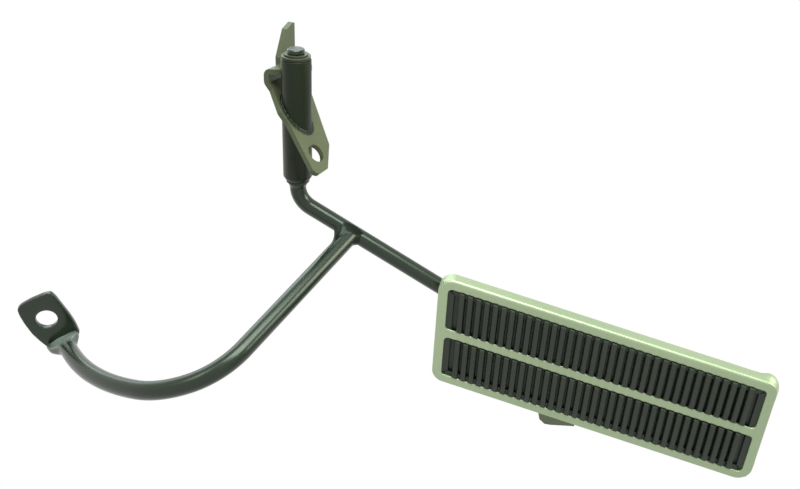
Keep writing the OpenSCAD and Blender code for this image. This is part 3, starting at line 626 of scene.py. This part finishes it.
profile = rib_profile()
m = len(profile)
points, faces = [], []
half = WINDOW_W / 2 - 0.25
for side in (-1, 1):
    for i in range(RIBS):
        z0 = (i - (RIBS - 1) / 2) * RIB_STEP
        first = sum(len(p) for p in points)
        # Ends: the profile shrinks over the last half millimetre, as moulded rubber does
        for x, shrink in ((-half, 0.30), (-half + 0.12, 0.10), (-half + 0.4, 0.0),
                          (half - 0.4, 0.0), (half - 0.12, 0.10), (half, 0.30)):
            z = profile[:, 0] * (1 - 0.25 * shrink)
            d = profile[:, 1] + (FLOOR - profile[:, 1]) * shrink * 0.35
            points.append(pad(side * WINDOW_X + x + (z0 + z) * SKEW, z0 + z, d))
        faces += grid_faces(6, m, around=False, first=first)
        faces.append(tuple(first + k for k in range(m))[::-1])
        faces.append(tuple(first + 5 * m + k for k in range(m)))
ribs = add("rubber_ribs", np.concatenate(points), faces, "pedal", rubber, 50)

outline2, outward2 = rounded_band(PAD_W / 2 - 1.0 / math.cos(math.radians(11.8)), HALF_Z - 1.0,
                                  CORNER - 1)
loops = [(outline2 - outward2 * 7.0, 0.82), (outline2, 0.82),
         (outline2, 4.6), (outline2 - outward2 * 7.0, 4.6)]
points = np.concatenate([pad(p[:, 0], p[:, 1], d) for p, d in loops])
faces = grid_faces(4, len(outline2))
for side in (-1, 1):
    # Groove floor, stepped up to the margins at both ends of the window
    rows = [(-WINDOW_Z - 3, 0.9), (-WINDOW_Z + END_MARGIN - 0.3, 0.9),
            (-WINDOW_Z + END_MARGIN, 1.1), (-WINDOW_Z + END_MARGIN + 0.2, FLOOR)]
    rows += [(-z, d) for z, d in rows[::-1]]
    base = len(points)
    for z, d in rows:
        x = np.array([-WINDOW_W / 2 - 2.4, WINDOW_W / 2 + 2.4])
        points = np.concatenate([points, pad(side * WINDOW_X + x + z * SKEW, z, d)])
    faces += grid_faces(len(rows), 2, around=False, first=base)
sheet = add("rubber_sheet", points, faces, "pedal", rubber, 40)
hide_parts("rubber_pad")
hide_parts("rubber_pad")


# Back of the pedal
# Backing plate, hinge bracket and rivets are the CAD pieces, with rounded cut edges.
for name, width in {"backing_plate": 0.25, "hinge_bracket": 0.3, "hinge_rivets": 0.25,
                    "inner_hinge_bushing": 0.15, "outer_hinge_bushing": 0.15}.items():
    soften(name, width, angle=40)


# Stage, light and camera
# White all round, a large soft light from the picture's upper right, and a weaker one from
# the left. The camera stands where the photograph was taken: low, and rolled on its side.
def arm_direction(v):
    """A direction of the arm frame, in the row frame."""
    c, s = math.cos(LEAN), math.sin(LEAN)
    return Vector((v[0], c * v[1] - s * v[2], s * v[1] + c * v[2])).normalized()


right = arm_direction((0.045, 0.190, -0.981))
up = arm_direction((0.871, 0.473, 0.132))
back_dir = right.cross(up).normalized()
up = back_dir.cross(right).normalized()
eye_at = Vector((arm([146.94, -361.81, -112.67])[0] / 1000).tolist())
camera = bpy.data.objects.new("camera", bpy.data.cameras.new("camera"))
bpy.context.scene.collection.objects.link(camera)
camera.matrix_world = Matrix((
    (right.x, up.x, back_dir.x, eye_at.x), (right.y, up.y, back_dir.y, eye_at.y),
    (right.z, up.z, back_dir.z, eye_at.z), (0, 0, 0, 1)))
camera.data.sensor_width = 36
camera.data.lens = 38.25
camera.data.clip_start = 0.01
scene = bpy.context.scene
scene.camera = camera

middle = Vector((arm([-60, 0, -40])[0] / 1000).tolist())


def soft_light(name, r, u, b, size, power, colour=(1, 1, 1)):
    """An area light at middle + r right + u up + b back, in metres, turned to the middle."""
    light = bpy.data.lights.new(name, "AREA")
    light.shape = "RECTANGLE"
    light.size, light.size_y = size
    light.energy = power
    light.color = colour
    obj = bpy.data.objects.new(name, light)
    scene.collection.objects.link(obj)
    obj.location = middle + right * r + up * u + back_dir * b
    obj.rotation_euler = (obj.location - middle).to_track_quat("Z", "Y").to_euler()
    return obj


soft_light("key", 0.78, 0.20, 0.25, (0.45, 0.35), 3.2, (1.0, 1.0, 0.84))
soft_light("high_front", 0.12, 0.60, 0.60, (0.38, 0.8), 8, (0.92, 1.0, 0.95))
soft_light("left", -0.55, 0.45, 0.60, (0.3, 0.3), 1.2, (0.98, 1.0, 0.92))
soft_light("top", -0.30, 0.80, -0.30, (0.5, 0.9), 4, (0.84, 1.0, 0.96))


def shown_directly(tree):
    """1 for camera, glossy and transmission rays, which see the background as white."""
    rays = tree.nodes.new("ShaderNodeLightPath")
    total = rays.outputs["Is Camera Ray"]
    for ray in ("Is Glossy Ray", "Is Transmission Ray"):
        more = tree.nodes.new("ShaderNodeMath")
        more.operation = "MAXIMUM"
        tree.links.new(total, more.inputs[0])
        tree.links.new(rays.outputs[ray], more.inputs[1])
        total = more.outputs[0]
    return total


world = bpy.data.worlds.new("white")
scene.world = world
world.use_nodes = True
tree = world.node_tree
tree.nodes.clear()
out = tree.nodes.new("ShaderNodeOutputWorld")
mix = tree.nodes.new("ShaderNodeMixShader")
seen = tree.nodes.new("ShaderNodeBackground")
lit = tree.nodes.new("ShaderNodeBackground")
seen.inputs[0].default_value = (1, 1, 1, 1)
lit.inputs[0].default_value = (0.90, 1.0, 0.88, 1)
lit.inputs[1].default_value = 0.35
tree.links.new(shown_directly(tree), mix.inputs[0])
tree.links.new(lit.outputs[0], mix.inputs[1])
tree.links.new(seen.outputs[0], mix.inputs[2])
tree.links.new(mix.outputs[0], out.inputs[0])

# A pale floor well below the pedal. It keeps the shadow under the pedal and fades to the
# white of the background further out.
floor_mesh = bpy.data.meshes.new("floor")
size, low = 3.0, -1.0
floor_mesh.from_pydata([(-size, -size, low), (size, -size, low), (size, size, low),
                        (-size, size, low)], [], [(0, 1, 2, 3)])
floor = bpy.data.objects.new("floor", floor_mesh)
scene.collection.objects.link(floor)
pale = bpy.data.materials.new("floor")
pale.use_nodes = True
tree = pale.node_tree
tree.nodes.clear()
out = tree.nodes.new("ShaderNodeOutputMaterial")
mix = tree.nodes.new("ShaderNodeMixShader")
fading = tree.nodes.new("ShaderNodeMixShader")
glow = tree.nodes.new("ShaderNodeEmission")
matte = tree.nodes.new("ShaderNodeBsdfDiffuse")
matte.inputs[0].default_value = (0.9, 0.9, 0.88, 1)
coords = tree.nodes.new("ShaderNodeTexCoord")
flat_part = tree.nodes.new("ShaderNodeVectorMath")
flat_part.operation = "MULTIPLY"
flat_part.inputs[1].default_value = (1, 1, 0)
far = tree.nodes.new("ShaderNodeVectorMath")
far.operation = "LENGTH"
fade = tree.nodes.new("ShaderNodeMapRange")
fade.interpolation_type = "SMOOTHSTEP"
fade.inputs["From Min"].default_value = 0.1
fade.inputs["From Max"].default_value = 0.9
tree.links.new(coords.outputs["Object"], flat_part.inputs[0])
tree.links.new(flat_part.outputs[0], far.inputs[0])
tree.links.new(far.outputs["Value"], fade.inputs[0])
tree.links.new(fade.outputs[0], fading.inputs[0])
tree.links.new(matte.outputs[0], fading.inputs[1])
tree.links.new(glow.outputs[0], fading.inputs[2])
tree.links.new(shown_directly(tree), mix.inputs[0])
tree.links.new(matte.outputs[0], mix.inputs[1])
tree.links.new(fading.outputs[0], mix.inputs[2])
tree.links.new(mix.outputs[0], out.inputs[0])
floor_mesh.materials.append(pale)

scene.view_settings.view_transform = "Standard"
